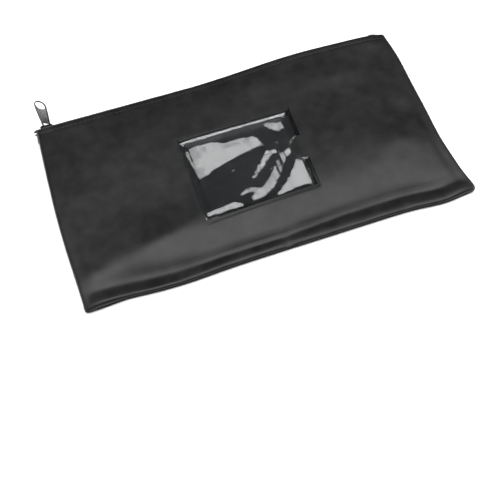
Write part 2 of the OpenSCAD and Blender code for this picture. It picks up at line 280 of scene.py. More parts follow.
def back_height(x, y):
    """Outside height of the back panel, which lies on the table."""
    lift = 0.35 * (1 + waves(x, y, 30, 4.2)) * smooth((HALF_L - abs(x)) / 30)
    rim = 0.5 * smooth((up(y) - 0.85) / 0.06)
    return np.maximum(0, lift * 0.5 - 0.1) + rim


# ---------------------------------------------------------------- mesh helpers

def finish_piece(obj, node_names, body):
    """Says what the piece rides on and what it replaces."""
    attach(obj, body)
    if node_names:
        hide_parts(*node_names)
    return obj


def link(name, mesh, *materials):
    obj = bpy.data.objects.new(name, mesh)
    bpy.context.scene.collection.objects.link(obj)
    for m in materials:
        mesh.materials.append(m)
    return obj


def grid_faces(nu, nv, wrap=False, start=0):
    """Quads over a grid of nu by nv points, joined round the second way if wrap."""
    last = nv if wrap else nv - 1
    return [(start + i * nv + j, start + (i + 1) * nv + j,
             start + (i + 1) * nv + (j + 1) % nv, start + i * nv + (j + 1) % nv)
            for i in range(nu - 1) for j in range(last)]


def mesh_of(name, points, faces, smooth_faces=True):
    mesh = bpy.data.meshes.new(name)
    mesh.from_pydata((np.asarray(points, float) * MM).tolist(), [], faces)
    mesh.validate()
    if smooth_faces:
        mesh.polygons.foreach_set("use_smooth", [True] * len(mesh.polygons))
    mesh.update()
    return mesh


def baked(obj):
    """Applies the object's modifiers and leaves a plain mesh."""
    graph = bpy.context.evaluated_depsgraph_get()
    mesh = bpy.data.meshes.new_from_object(obj.evaluated_get(graph))
    obj.modifiers.clear()
    old = obj.data
    obj.data = mesh
    bpy.data.meshes.remove(old)
    mesh.name = obj.name
    return obj


def outward(obj):
    """Turns every face of a closed mesh outwards."""
    b = bmesh.new()
    b.from_mesh(obj.data)
    bmesh.ops.recalc_face_normals(b, faces=b.faces)
    b.to_mesh(obj.data)
    b.free()
    return obj


def tube(route, radius, sides, closed=False):
    """Points and quads of a round tube along a route, with capped ends unless closed."""
    route = np.asarray(route, float)
    n = len(route)
    ahead = np.roll(route, -1, 0) - np.roll(route, 1, 0)
    if not closed:
        ahead[0], ahead[-1] = route[1] - route[0], route[-1] - route[-2]
    ahead /= np.linalg.norm(ahead, axis=1)[:, None]
    side = np.cross(ahead, (0.13, 0.21, 0.97))
    side /= np.linalg.norm(side, axis=1)[:, None]
    other = np.cross(ahead, side)
    angles = np.arange(sides) / sides * 2 * math.pi
    rings = (route[:, None] + radius * (np.cos(angles)[None, :, None] * side[:, None]
                                        + np.sin(angles)[None, :, None] * other[:, None]))
    faces = [tuple(reversed(f)) for f in grid_faces(n, sides, wrap=True)]
    if closed:
        faces += [((n - 1) * sides + j, (n - 1) * sides + (j + 1) % sides, (j + 1) % sides, j)
                  for j in range(sides)]
    else:
        faces += [tuple(range(sides)), tuple(reversed(range((n - 1) * sides, n * sides)))]
    return rings.reshape(-1, 3), faces


def capsule(span, radius, sag=0.0):
    """A stitch along X: a thread with round ends that dip by sag."""
    steps = np.linspace(-1, 1, 7)
    route = np.stack([steps * span / 2, 0 * steps, -sag * steps ** 4], 1)
    widths = np.sqrt(np.clip(1 - (abs(steps) * 0.98) ** 6, 0.05, 1))
    points, faces = tube(route, 1, 6)
    rings = points.reshape(7, 6, 3)
    rings = route[:, None] + (rings - route[:, None]) * (radius * widths)[:, None, None]
    return rings.reshape(-1, 3), faces


# ---------------------------------------------------------------- materials

class Shader:
    """A material's node tree, built a node at a time."""

    def __init__(self, name):
        self.material = bpy.data.materials.new(name)
        self.material.use_nodes = True
        self.tree = self.material.node_tree
        self.tree.nodes.clear()
        output = self.tree.nodes.new("ShaderNodeOutputMaterial")
        self.surface = self.add("BsdfPrincipled")
        self.join(self.surface, "BSDF", output, "Surface")
        self.place = self.add("TexCoord")

    def add(self, kind, **settings):
        node = self.tree.nodes.new("ShaderNode" + kind)
        for key, value in settings.items():
            if key in node.inputs:
                node.inputs[key].default_value = value
            else:
                setattr(node, key, value)
        return node

    def join(self, a, out, b, into):
        self.tree.links.new(a.outputs[out], b.inputs[into])

    def set(self, **values):
        for key, value in values.items():
            self.surface.inputs[key.replace("_", " ")].default_value = value

    def stretched(self, scale, rotation=(0, 0, 0)):
        node = self.add("Mapping")
        node.inputs["Scale"].default_value = scale
        node.inputs["Rotation"].default_value = rotation
        self.join(self.place, "Object", node, "Vector")
        return node

    def noise(self, size, detail=2.0, place=None):
        node = self.add("TexNoise", Scale=1 / (size * MM), Detail=detail)
        self.join(place or self.place, "Vector" if place else "Object", node, "Vector")
        return node

    def bands(self, size, direction, distortion, place=None):
        """Parallel ridges, about twice the size apart."""
        node = self.add("TexWave", wave_type="BANDS", bands_direction=direction,
                        Scale=1 / (size * MM) / 6.28, Distortion=distortion)
        self.join(place or self.place, "Vector" if place else "Object", node, "Vector")
        return node

    def spread(self, source, out, low, high, tones=None):
        """Maps a texture to a range of values, or between two tones."""
        node = self.add("ValToRGB")
        node.color_ramp.elements[0].position = 0.3
        node.color_ramp.elements[1].position = 0.7
        for element, value, tone in zip(node.color_ramp.elements, (low, high), tones or (None, None)):
            element.color = (*tone, 1) if tone else (value, value, value, 1)
        self.join(source, out, node, "Fac")
        return node

    def bump(self, heights, distance, strength=1.0, below=None):
        node = self.add("Bump", Distance=distance * MM, Strength=strength)
        self.join(heights[0], heights[1], node, "Height")
        if below:
            self.join(below, "Normal", node, "Normal")
        return node


def leather_material():
    s = bpy.context.scene.bag_leather
    m = Shader("black_leatherette")
    mottle = m.noise(9, 4)
    m.join(m.spread(mottle, "Fac", 0, 1, (tuple(s.tone), tuple(s.worn))), "Color", m.surface, "Base Color")
    polish = m.noise(26, 3)
    m.join(m.spread(polish, "Fac", s.roughness - 0.05, s.roughness + 0.06), "Color", m.surface, "Roughness")
    grain = m.add("TexVoronoi", feature="SMOOTH_F1", Scale=1 / (0.8 * MM), Smoothness=0.6)
    m.join(m.place, "Object", grain, "Vector")
    pores = m.noise(0.35, 2)
    leather = m.bump((grain, "Distance"), 0.05, 0.35)
    fine = m.bump((pores, "Fac"), 0.02, 0.3, leather)
    m.join(fine, "Normal", m.surface, "Normal")
    m.set(IOR=1.3)
    return m.material


def vinyl_material():
    s = bpy.context.scene.bag_window
    m = Shader("clear_vinyl_film")
    haze = m.noise(6, 3)
    m.join(m.spread(haze, "Fac", 0.02, 0.07), "Color", m.surface, "Roughness")
    ripple = m.noise(5, 2)
    m.join(m.bump((ripple, "Fac"), 0.06, 0.5), "Normal", m.surface, "Normal")
    m.set(Base_Color=(*s.tint, 1), Transmission_Weight=1.0, IOR=1.5)
    return m.material


def weld_material():
    """Vinyl pressed into the leatherette: darker and smoother than the panel round it."""
    m = Shader("welded_vinyl_band")
    s = bpy.context.scene.bag_leather
    tone = m.noise(3, 2)
    tones = tuple(c * 0.3 for c in s.tone), tuple(s.tone)
    m.join(m.spread(tone, "Fac", 0, 1, tones), "Color", m.surface, "Base Color")
    press = m.noise(0.9, 2)
    m.join(m.bump((press, "Fac"), 0.03, 0.5), "Normal", m.surface, "Normal")
    m.set(Roughness=0.26, IOR=1.27)
    return m.material


def weave_material():
    """Twill tape: fine ribs across it, crossed by slanted ones."""
    z = bpy.context.scene.bag_zipper
    m = Shader("zipper_tape_weave")
    ribs = m.bands(0.55, "X", 0.6)
    slant = m.stretched((1, 1, 1), (0, math.radians(35), 0))
    twill = m.bands(0.4, "Z", 0.4, slant)
    fuzz = m.noise(0.2, 3)
    tones = tuple(z.tape), tuple(c * 2.2 for c in z.tape)
    m.join(m.spread(twill, "Fac", 0, 1, tones), "Color", m.surface, "Base Color")
    first = m.bump((ribs, "Fac"), 0.06, 0.6)
    second = m.bump((twill, "Fac"), 0.05, 0.6, first)
    m.join(m.bump((fuzz, "Fac"), 0.03, 0.4, second), "Normal", m.surface, "Normal")
    m.set(Roughness=0.8, Sheen_Weight=0.25, Sheen_Roughness=0.5)
    return m.material


def nylon_material():
    z = bpy.context.scene.bag_zipper
    m = Shader("nylon_coil")
    streak = m.noise(0.8, 2)
    tones = tuple(z.nylon), tuple(c * 1.8 for c in z.nylon)
    m.join(m.spread(streak, "Fac", 0, 1, tones), "Color", m.surface, "Base Color")
    m.join(m.spread(streak, "Fac", 0.3, 0.42), "Color", m.surface, "Roughness")
    return m.material


def thread_material():
    """Plied sewing thread, whose twist shows as slanted ridges."""
    z = bpy.context.scene.bag_zipper
    m = Shader("sewing_thread")
    slant = m.stretched((1, 1, 1), (0, 0, math.radians(40)))
    twist = m.bands(0.22, "X", 0.3, slant)
    tones = tuple(z.thread), tuple(c * 2 for c in z.thread)
    m.join(m.spread(twist, "Fac", 0, 1, tones), "Color", m.surface, "Base Color")
    m.join(m.bump((twist, "Fac"), 0.04, 0.8), "Normal", m.surface, "Normal")
    m.set(Roughness=0.6, Sheen_Weight=0.05)
    return m.material


def metal_material(name, metal, rough):
    """Electroplated zinc, with drawn lines along the pull and bright rubbed patches."""
    m = Shader(name)
    lines = m.add("Attribute", attribute_name="along_pull", attribute_type="GEOMETRY")
    stretch = m.add("Mapping")
    stretch.inputs["Scale"].default_value = (3200, 200, 3200)
    m.join(lines, "Vector", stretch, "Vector")
    drawn = m.add("TexNoise", Scale=1.0, Detail=3)
    m.join(stretch, "Vector", drawn, "Vector")
    wear = m.noise(1.4, 3)
    tones = tuple(c * 0.7 for c in metal), tuple(c * 1.4 for c in metal)
    m.join(m.spread(wear, "Fac", 0, 1, tones), "Color", m.surface, "Base Color")
    m.join(m.spread(drawn, "Fac", rough, rough + 0.18), "Color", m.surface, "Roughness")
    m.join(m.bump((drawn, "Fac"), 0.03, 0.5), "Normal", m.surface, "Normal")
    m.set(Metallic=0.9)
    return m.material


MATERIALS = {}


def material(kind):
    zipper = bpy.context.scene.bag_zipper
    makers = {"leather": leather_material, "vinyl": vinyl_material, "weld": weld_material,
              "weave": weave_material, "nylon": nylon_material, "thread": thread_material,
              "metal": lambda: metal_material("black_plated_metal", zipper.metal, 0.22),
              # web: the same metal with a lighter colour, a painted reflection of the bright surroundings
              "web": lambda: metal_material("brushed_metal", zipper.web, 0.42)}
    if kind not in MATERIALS:
        MATERIALS[kind] = makers[kind]()
    return MATERIALS[kind]


# ---------------------------------------------------------------- leatherette panels

ROLL_START = math.radians(-62)


def roll_rows(radius, allowance):
    """(distance in from the edge, share of the full height) from the turned-in allowance over the roll."""
    inner = radius * (1 - math.cos(ROLL_START))
    rows = [(inner + allowance, 0.0), (inner + allowance / 2, 0.0), (inner + 0.5, 0.0)]
    for angle in np.linspace(ROLL_START, math.pi / 2, 10):
        rise = (math.sin(angle) - math.sin(ROLL_START)) / (1 - math.sin(ROLL_START))
        rows.append((radius * (1 - math.cos(angle)), rise))
    return np.array(rows)


def round_corner(x, y, radius_left, radius_right):
    """Rounds the bottom corners of the plan."""
    radius = np.where(x < 0, radius_left, radius_right)
    qx = np.clip(abs(x) - (HALF_L - radius), 0, None)
    qy = np.clip(-y - (HALF_H - radius), 0, None)
    nx = qx * np.sqrt(1 - qy ** 2 / (2 * radius ** 2))
    ny = qy * np.sqrt(1 - qx ** 2 / (2 * radius ** 2))
    return x + np.sign(x) * (nx - qx), y - (ny - qy)


def bowed(x, y):
    """The outline as it lies: its long and short edges aren't quite straight."""
    edge = abs(x / HALF_L) ** 3
    left = -(1.2 * smooth(up(y) * 2) + 1.6 * np.sin(math.pi * np.clip(up(y), 0, 1))) * edge
    right = (1.8 * bump(y - 52, 26) - 2.0 * bump(y + 28, 26) + 2.4 * bump(y + 76, 12)) * edge
    low = smooth((10 - y) / 80)
    drop = (2.4 * bump(x - 116, 18) + 1.3 * bump(x + 72, 26) - 1.0 * bump(x + 112, 14)) * low
    mouth = 4.6 * bump(x - 72, 60) * smooth((y - 50) / 26)
    return x + np.where(x < 0, left, right), y - drop + mouth


def panel_mesh(name, height, side, hem):
    """One cut of leatherette: seam allowances, rolls, panel and hem, as a grid on its outside.
    side is 1 for the front and -1 for the back."""
    s = sizes(bpy.context.scene.bag_leather)
    rows = roll_rows(s["roll"], s["allowance"])
    inner_x = np.linspace(-HALF_L + s["roll"], HALF_L - s["roll"], 130)[1:-1]
    xs = np.concatenate([-HALF_L + rows[:, 0], inner_x, HALF_L - rows[::-1, 0]])
    hx = np.concatenate([rows[:, 1], np.ones(len(inner_x)), rows[::-1, 1]])
    inner_y = np.linspace(-HALF_H + s["roll"], HALF_H - 8, 60)[1:]
    hem_y = np.arange(HALF_H - 7.2, HALF_H - 0.6, 0.6)
    fold_r = s["hem_t"] / 2
    fold = np.linspace(0, math.pi, 8)[1:]
    ys = np.concatenate([-HALF_H + rows[:, 0], inner_y, hem_y, HALF_H - fold_r + fold_r * np.sin(fold),
                         HALF_H - fold_r - np.array([hem * 0.3, hem * 0.65, hem])])
    hy = np.concatenate([rows[:, 1], np.ones(len(ys) - len(rows))])
    under = np.concatenate([np.zeros(len(ys) - 10), fold_r * (1 - np.cos(fold)),
                            np.full(3, 2 * fold_r)])
    x, y = np.meshgrid(xs, ys, indexing="ij")
    share = hx[:, None] * hy[None, :]
    base = seam_z(y)
    full = height(x, y)
    z = base + (full - base) * share - side * under[None, :] * share
    lift = side * 0.12
    z = z + lift * (1 - smooth(share / 0.06))
    x, y = bowed(*round_corner(x, y, 2.5, 4.0))
    points = np.stack([x, y, z], -1).reshape(-1, 3)
    faces = grid_faces(*x.shape)
    if side < 0:
        faces = [tuple(reversed(f)) for f in faces]
    return mesh_of(name, points, faces)


def add_panel(name, node, height, side):
    s = bpy.context.scene.bag_leather
    obj = link(name, panel_mesh(name, height, side, s.hem / MM), material("leather"))
    solid = obj.modifiers.new("thickness", "SOLIDIFY")
    solid.thickness = s.thickness
    solid.offset = -1
    solid.use_even_offset = False
    baked(obj)
    finish_piece(obj, [node], "bag")
    return obj


SETTLE_FRAMES = 24
SETTLE_MOST = 1.5  # the most that a point may settle, in millimetres
SETTLE_SHARE = 0.7  # how much of the settled shape is kept


def settle_leather():
    """Lets a coarse front panel, with a little more cloth than its seams span, settle as cloth."""
    cell = 4.0
    nx, ny = round(2 * HALF_L / cell) + 1, round(2 * HALF_H / cell) + 1
    x, y = np.meshgrid(np.linspace(-HALF_L, HALF_L, nx), np.linspace(-HALF_H, HALF_H, ny), indexing="ij")
    z = front_height(x, y)
    obj = link("settling_panel", mesh_of("settling_panel", np.stack([x, y, z], -1).reshape(-1, 3),
                                         grid_faces(nx, ny)))
    pins = obj.vertex_groups.new(name="sewn")
    on_edge = (x == x.min()) | (x == x.max()) | (y == y.min()) | (y == y.max())
    pins.add([int(i) for i in np.flatnonzero(on_edge.ravel())], 1.0, "REPLACE")
    film = (abs(x - FLAT_X) < 41) & (abs(y - FLAT_Y) < 34)
    pins.add([int(i) for i in np.flatnonzero(film.ravel())], 0.6, "REPLACE")
    cloth = obj.modifiers.new("cloth", "CLOTH")
    c = cloth.settings
    c.quality = 6
    c.mass = 0.4
    c.tension_stiffness = c.compression_stiffness = 30
    c.shear_stiffness = 12
    c.bending_stiffness = 3
    c.shrink_min = c.shrink_max = -0.012
    c.vertex_group_mass = "sewn"
    c.use_pressure = True
    c.uniform_pressure_force = 0.4
    c.effector_weights.gravity = 0.4
    cloth.point_cache.frame_start, cloth.point_cache.frame_end = 1, SETTLE_FRAMES
    scene = bpy.context.scene
    for f in range(1, SETTLE_FRAMES + 1):
        scene.frame_set(f)
    graph = bpy.context.evaluated_depsgraph_get()
    moved = np.array([v.co for v in obj.evaluated_get(graph).data.vertices])[:, 2].reshape(nx, ny) / MM
    scene.frame_set(1)
    bpy.data.objects.remove(obj)
    change = np.clip(moved - z, -SETTLE_MOST, SETTLE_MOST)
    for _ in range(2):
        change[1:-1, 1:-1] = (change[1:-1, 1:-1] * 4 + change[:-2, 1:-1] + change[2:, 1:-1]
                              + change[1:-1, :-2] + change[1:-1, 2:]) / 8
    slack.update(x=x[:, 0], y=y[0], z=SETTLE_SHARE * (change - change.mean()).T)


class BAG_OT_leather_panels(bpy.types.Operator):
    """Front and back panels with rolled seams and folded hems"""
    bl_idname = "bag.leather_panels"
    bl_label = "Leather Panels"

    def execute(self, context):
        settle_leather()
        add_panel("front_panel_leather", "front_panel", front_height, 1)
        add_panel("back_panel_leather", "back_panel", back_height, -1)
        return {"FINISHED"}


# ---------------------------------------------------------------- card window

# Corners of the pocket on the panel: bottom left, bottom right, top right, top left
CORNERS = np.array([(-46.2, -44.5), (38.0, -41.1), (41.4, 32.1), (-45.9, 31.1)])
WINDOW_W, WINDOW_H = 84.0, 71.5
NOTCH_MID, NOTCH_DEEP = -0.4, 0.85  # the notch's middle from the window's, and its depth for a radius of 1
EASE = 0.9  # the first row of the loose film, in from the weld
# Loose folds of the film that face the bottom seam, as outlines on the panel
FOLDS = (
    ((-48, 31), (14, 31), (14, 26.8), (-15.6, 26.4), (-38.6, 24), (-48, 21.5)),
    ((-48, 22.5), (-38, 21.5), (-21, 20), (-14, 17), (5, 15.5), (10.5, 12), (11.5, 6.5), (-2, 4),
     (-21, 1), (-38, -5), (-48, -9)),
    ((12, 31), (40, 31), (39.5, 24), (38.2, 6), (36, 5), (34.8, 15.5), (33, 17.5), (28, 14.4),
     (22.5, 17.1), (19.2, 21.9), (14, 26.8)),
    ((29.7, -14.3), (35.4, -20), (32.8, -38.8), (29.8, -35), (18, -36.7), (5, -38.5), (15, -31), (24, -21)),
    ((-45, -34.8), (-37.7, -34.9), (-23, -33.4), (-17, -38.5), (-30, -37.5), (-44, -38)),
)
# Hollows inside those folds, where the film turns away again
FOLD_HOLLOWS = (
    ((20.8, 27), (33, 26.8), (33.5, 24.5), (31, 23), (27.5, 23), (24, 24.5)),
    ((-48, 22.7), (-38, 24.3), (-38, 23), (-48, 21.9)),
)
# Creases that run down towards the left: points and half widths
CREASES = (
    (((19.5, -2.5), (13, -3), (5.6, -10), (-3.5, -17.8)), (1.8, 2.2, 2.2, 1.8)),
    (((28.3, -6), (21.5, -7.5), (15.3, -17), (7, -26), (-3, -33), (-9, -34)), (2.5, 2.8, 3, 3.6, 3, 2.4)),
    (((-18.5, -29), (-12, -27), (-5, -30)), (1, 2, 2.4)),
    (((-16, -8), (-14.5, -8)), (0.7, 0.7)),
)
FIELD_STEP = 0.4


def inside_outline(x, y, outline):
    """Signed distance to a closed outline, positive inside."""
    pts = np.array(outline, float)
    best = np.full(x.shape, 1e9)
    within = np.zeros(x.shape, bool)
    for (ax, ay), (bx, by) in zip(pts, np.roll(pts, -1, 0)):
        dx, dy = bx - ax, by - ay
        t = np.clip(((x - ax) * dx + (y - ay) * dy) / (dx * dx + dy * dy), 0, 1)
        best = np.minimum(best, np.hypot(x - ax - t * dx, y - ay - t * dy))
        crosses = (ay > y) != (by > y)
        run = np.where(crosses, (y - ay) / (by - ay if by != ay else 1) * dx + ax, 0)
        within ^= crosses & (x < run)
    return np.where(within, best, -best)


def along_crease(x, y, points, halves):
    """Signed distance to a band of changing width, positive inside."""
    best = np.full(x.shape, -1e9)
    for (a, b, wa, wb) in zip(points, points[1:], halves, halves[1:]):
        dx, dy = b[0] - a[0], b[1] - a[1]
        t = np.clip(((x - a[0]) * dx + (y - a[1]) * dy) / (dx * dx + dy * dy), 0, 1)
        best = np.maximum(best, lerp(wa, wb, t) - np.hypot(x - a[0] - t * dx, y - a[1] - t * dy))
    return best


def film_field(slope):
    """Height of the loose film over a grid. It falls towards the bottom seam in each fold."""
    xs = np.arange(CORNERS[:, 0].min(), CORNERS[:, 0].max(), FIELD_STEP)
    ys = np.arange(CORNERS[:, 1].min(), CORNERS[:, 1].max(), FIELD_STEP)
    x, y = np.meshgrid(xs, ys, indexing="ij")
    wx = x + 0.8 * waves(x, y, 3.5, 2.2) + 0.4 * waves(x, y, 1.2, 3.1)
    wy = y + 0.7 * waves(x, y, 4.5, 5.2) + 0.35 * waves(x, y, 1.3, 6.1)
    wx = wx + 2.2 * waves(x * 0.15, y, 0.9, 9.3)
    wy = wy + 0.9 * waves(x * 0.25, y, 1.5, 8.1)
    reach = np.full(x.shape, -1e9)
    for outline in FOLDS:
        reach = np.maximum(reach, inside_outline(wx, wy, outline))
    for points, halves in CREASES:
        reach = np.maximum(reach, along_crease(wx, wy, points, halves))
    for outline in FOLD_HOLLOWS:
        reach = np.minimum(reach, -inside_outline(wx, wy, outline))
    lit = smooth(0.5 + reach / 0.8)
    room = (y > CORNERS[0, 1] + 3.4) & (y < CORNERS[3, 1] - 2.6 + (x - CORNERS[3, 0]) * 0.012)
    rest = np.clip(1 - lit, 0, 1) * room
    rest = rest * lerp(0.5 + 2.6 * smooth((y - 4) / 16), 1.0, smooth((x - 8) / 10))
    lit = lit * room * (1 + 0.2 * waves(x * 0.5, y, 2.2, 11.4) + 0.15 * waves(x, y, 5, 12.9))
    lit = lit * lerp(0.75, 1.0, smooth((x + 42) / 14))
    back = slope * lit.sum(1) / np.maximum(rest.sum(1), 1)
    z = np.cumsum(slope * lit - back[:, None] * rest, axis=1) * FIELD_STEP
    z[1:-1, 1:-1] = (z[1:-1, 1:-1] * 2 + z[:-2, 1:-1] + z[2:, 1:-1] + z[1:-1, :-2] + z[1:-1, 2:]) / 6
    return xs, ys, z


def sample_field(field, x, y):
    """The film's height at points x, y."""
    xs, ys, z = field
    gx, gy = (x - xs[0]) / FIELD_STEP, (y - ys[0]) / FIELD_STEP
    i = np.clip(gx.astype(int), 0, len(xs) - 2)
    j = np.clip(gy.astype(int), 0, len(ys) - 2)
    u, v = np.clip(gx - i, 0, 1), np.clip(gy - j, 0, 1)
    return lerp(lerp(z[i, j], z[i + 1, j], u), lerp(z[i, j + 1], z[i + 1, j + 1], u), v)


WELD_STEPS = np.array([0, 0.12, 0.3, 0.7, 0.9, 1.1, 1.7, 1.9, 2.1, 2.5, 2.75, 3.0])
WELD_RISE = np.array([0.1, 0.36, 0.45, 0.45, 0.3, 0.08, 0.08, 0.26, 0.42, 0.42, 0.3, 0.12])


def window_steps(span, weld, rows):
    """Places across the window: fine steps over both welds and even rows between."""
    steps = WELD_STEPS * weld / WELD_STEPS[-1]
    return np.concatenate([steps, np.linspace(weld + EASE, span - weld - EASE, rows), span - steps[::-1]])


def build_window():
    w = bpy.context.scene.bag_window
    s = sizes(w)
    weld = s["weld"]
    width, tall = WINDOW_W, WINDOW_H
    u, v = np.meshgrid(window_steps(width, weld, 130), window_steps(tall, weld, 140), indexing="ij")
    notch_y = v - tall / 2 - NOTCH_MID
    half = np.sqrt(np.clip(s["notch"] ** 2 - notch_y ** 2, 0, None)) * NOTCH_DEEP
    right = width - half
    cut = half > 0.05
    su = np.where(u < weld, u, np.where(u > width - weld, right - (width - u),
                  weld + (u - weld) * (right - 2 * weld) / (width - 2 * weld)))
    fu, fv = su / width, v / tall
    bl, br, tr, tl = CORNERS
    low = lerp(bl[None, None], br[None, None], fu[..., None])
    high = lerp(tl[None, None], tr[None, None], fu[..., None])
    xy = lerp(low, high, fv[..., None])
    x, y = xy[..., 0], xy[..., 1]
    edge_right = width - u
    band = np.minimum(np.minimum(v, tall - v), np.where(cut, width, edge_right))
    rim = np.interp(band * WELD_STEPS[-1] / weld, WELD_STEPS, WELD_RISE)
    left_line = 0.3 - 0.2 * bump(u - 1.6, 0.5)
    z_top = np.minimum(rim, np.where(u < weld, left_line, rim))
    z_top = np.where(cut & (edge_right < 0.35), 0.12 + 0.5 * edge_right, z_top)
    clear = np.minimum(np.minimum(v, tall - v) - weld, np.minimum(u * 2, edge_right + 2 - weld))
    inside = smooth((clear - 0.4) / 1.1)
    field = film_field(w.slope)
    leather = front_height(x, y)
    panel = leather + dish(x, y)
    top = np.maximum(panel + z_top + sample_field(field, x, y) * inside, leather + s["film"] + 0.05)
    under = np.where(band < weld, panel + 0.02, top - s["film"])
    under = np.minimum(under, top - 0.08)
    nu, nv = x.shape
    upper = np.stack([x, y, top], -1).reshape(-1, 3)
    lower = np.stack([x, y, under], -1).reshape(-1, 3)
    count = nu * nv
    faces = grid_faces(nu, nv)
    flipped = [tuple(count + k for k in reversed(f)) for f in faces]
    ring = ([i * nv for i in range(nu)] + [(nu - 1) * nv + j for j in range(1, nv)]
            + [i * nv + nv - 1 for i in range(nu - 2, -1, -1)] + [j for j in range(nv - 2, 0, -1)])
    walls = [(count + a, count + b, b, a) for a, b in zip(ring, ring[1:] + ring[:1])]
    mesh = mesh_of("card_window_film", np.vstack([upper, lower]), faces + flipped + walls)
    obj = link("card_window_film", mesh, material("vinyl"), material("weld"))
    flags = (band < weld + 0.05).ravel()
    for k, f in enumerate(faces):
        if all(flags[i] for i in f):
            mesh.polygons[k].material_index = 1
            mesh.polygons[k + len(faces)].material_index = 1
    for k in range(2 * len(faces), len(mesh.polygons)):
        if all(flags[i % count] for i in mesh.polygons[k].vertices):
            mesh.polygons[k].material_index = 1
    return outward(obj)


class BAG_OT_card_window(bpy.types.Operator):
    """Clear vinyl pocket, welded along its edges, with a thumb notch and loose wrinkles"""
    bl_idname = "bag.card_window"
    bl_label = "Card Window"

    def execute(self, context):
        obj = build_window()
        finish_piece(obj, ["card_window"], "bag")
        return {"FINISHED"}


# ---------------------------------------------------------------- zipper tapes and chain

SPREAD_FROM = SLIDER_LOW[0] + 3.5
SPREAD_RUN = 4.4
COIL_REACH = COIL_HIGH[2] - CHAIN_Z
SPREAD = COIL_REACH - 2.15


def spread_at(x):
    """How far the coils stand apart at x, round the slider's post."""
    return SPREAD * (1 - smooth((x - SPREAD_FROM) / SPREAD_RUN))


def end_loop(x):
    """How far the folded right end of the tape stands out of the mouth."""
    return 3.6 * bump(x - 130, 6)


def tape_section(thickness, side):
    """Outline of the tape across its width: standing strip, bend and the leg under the hem."""
    outer = TAPE_HIGH[1]
    leg = LEG_TOP - CHAIN_Z
    bend = 0.6
    outside = [(outer, 1.0), (outer, 1.8), (outer, 2.6), (outer, leg - bend)]
    outside += [(outer - bend + bend * math.cos(a), leg - bend + bend * math.sin(a))
                for a in np.linspace(0, math.pi / 2, 5)[1:]]
    outside += [(outer - d, leg) for d in (2, 4, 6, 9)]
    inner = bend - thickness
    inside = [(outer - d, leg - thickness) for d in (9, 6, 4, 2)]
    inside += [(outer - bend + inner * math.cos(a), leg - bend + inner * math.sin(a))
               for a in np.linspace(math.pi / 2, 0, 5)[:-1]]
    inside += [(outer - thickness, z) for z in (leg - bend, 2.6, 1.8, 1.0)]
    return [(y, CHAIN_Z + side * z) for y, z in outside + inside]


TAPE_T = 0.4
NUB = 1.2  # how far the tapes' closed left end stands out past their solids
NUB_RUN = 3.6  # the length over which that end is rounded off


def build_tape(name, side):
    section = np.array(tape_section(TAPE_T, side))
    ends = TAPE_LOW[0], TAPE_HIGH[0]
    rounded = ends[0] + 4
    xs = np.concatenate([np.linspace(ends[0], rounded, 14)[:-1], np.linspace(rounded, ends[1], 188)])
    n = len(section)
    rings = []
    for x in xs:
        wave = 0.12 * noise.noise(Vector((x / 9, 3.3 * side, 0)))
        wave += 0.05 * noise.noise(Vector((x / 3, 9.1, side)))
        ring = np.column_stack([np.full(n, x), section])
        ring[:, 1] += wave * smooth((HALF_L - abs(x)) / 6)
        ring[:, 1] += end_loop(x) * (ring[:, 1] > HALF_H)
        shift = NUB * smooth((-HALF_L + 5 - x) / 5)
        ring[:, 0] -= shift
        if abs(x) > HALF_L - 4:
            tip = np.clip(1 - (x - shift - ends[0] + NUB) / NUB_RUN, 0, 1)
            near, far = lerp(1.0, 0.05, smooth(tip * 6)), 0.25 + 3.25 * math.sqrt(1 - tip ** 2)
            low, high = CHAIN_Z + side * near, CHAIN_Z + side * far
            ring[:, 2] = np.clip(ring[:, 2], min(low, high), max(low, high))
            ring[:, 1] = np.clip(ring[:, 1] - end_loop(x), TAPE_HIGH[1] - TAPE_T, TAPE_HIGH[1]) + end_loop(x)
        rings.append(ring)
    points = np.vstack(rings)
    faces = grid_faces(len(xs), n, wrap=True)
    faces += [tuple(reversed(range(n))), tuple(range((len(xs) - 1) * n, len(xs) * n))]
    obj = link(name, mesh_of(name, points, faces), material("weave"))
    return outward(obj)


class BAG_OT_zipper_tapes(bpy.types.Operator):
    """Woven tapes that stand in the mouth and turn in under the hems"""
    bl_idname = "bag.zipper_tapes"
    bl_label = "Zipper Tapes"

    def execute(self, context):
        for side, word in ((1, "front"), (-1, "back")):
            obj = build_tape(word + "_zipper_tape_weave", side)
            finish_piece(obj, [word + "_zipper_tape"], "bag")
        return {"FINISHED"}


class Tree:
    """A geometry node tree, built a node at a time. Its first input is the object's own geometry."""

    def __init__(self, name, sockets):
        self.tree = bpy.data.node_groups.new(name, "GeometryNodeTree")
        for way in ("INPUT", "OUTPUT"):
            self.tree.interface.new_socket("Geometry", in_out=way, socket_type="NodeSocketGeometry")
        self.ids = {}
        for label, kind, value in sockets:
            socket = self.tree.interface.new_socket(label, in_out="INPUT", socket_type="NodeSocket" + kind)
            if value is not None:
                socket.default_value = value
            self.ids[label] = socket.identifier
        self.given = self.tree.nodes.new("NodeGroupInput").outputs

    def add(self, kind, *first, **named):
        """Adds a node, sets or joins its inputs by order or by name, and returns its outputs."""
        node = self.tree.nodes.new(kind)
        for key, value in (*enumerate(first), *named.items()):
            label = key if isinstance(key, int) else key.replace("_", " ")
            if isinstance(label, str) and label not in node.inputs:
                setattr(node, key, value)
            elif isinstance(value, bpy.types.NodeSocket):
                self.tree.links.new(value, node.inputs[label])
            else:
                node.inputs[label].default_value = value
        return node.outputs

    def finish(self, geometry):
        """Realises the instances and gives them their material, the tree's last two steps."""
        real = self.add("GeometryNodeRealizeInstances", geometry)
        painted = self.add("GeometryNodeSetMaterial", Geometry=real[0], Material=self.given["Material"])
        self.add("NodeGroupOutput", painted[0])
        return self.tree, self.ids


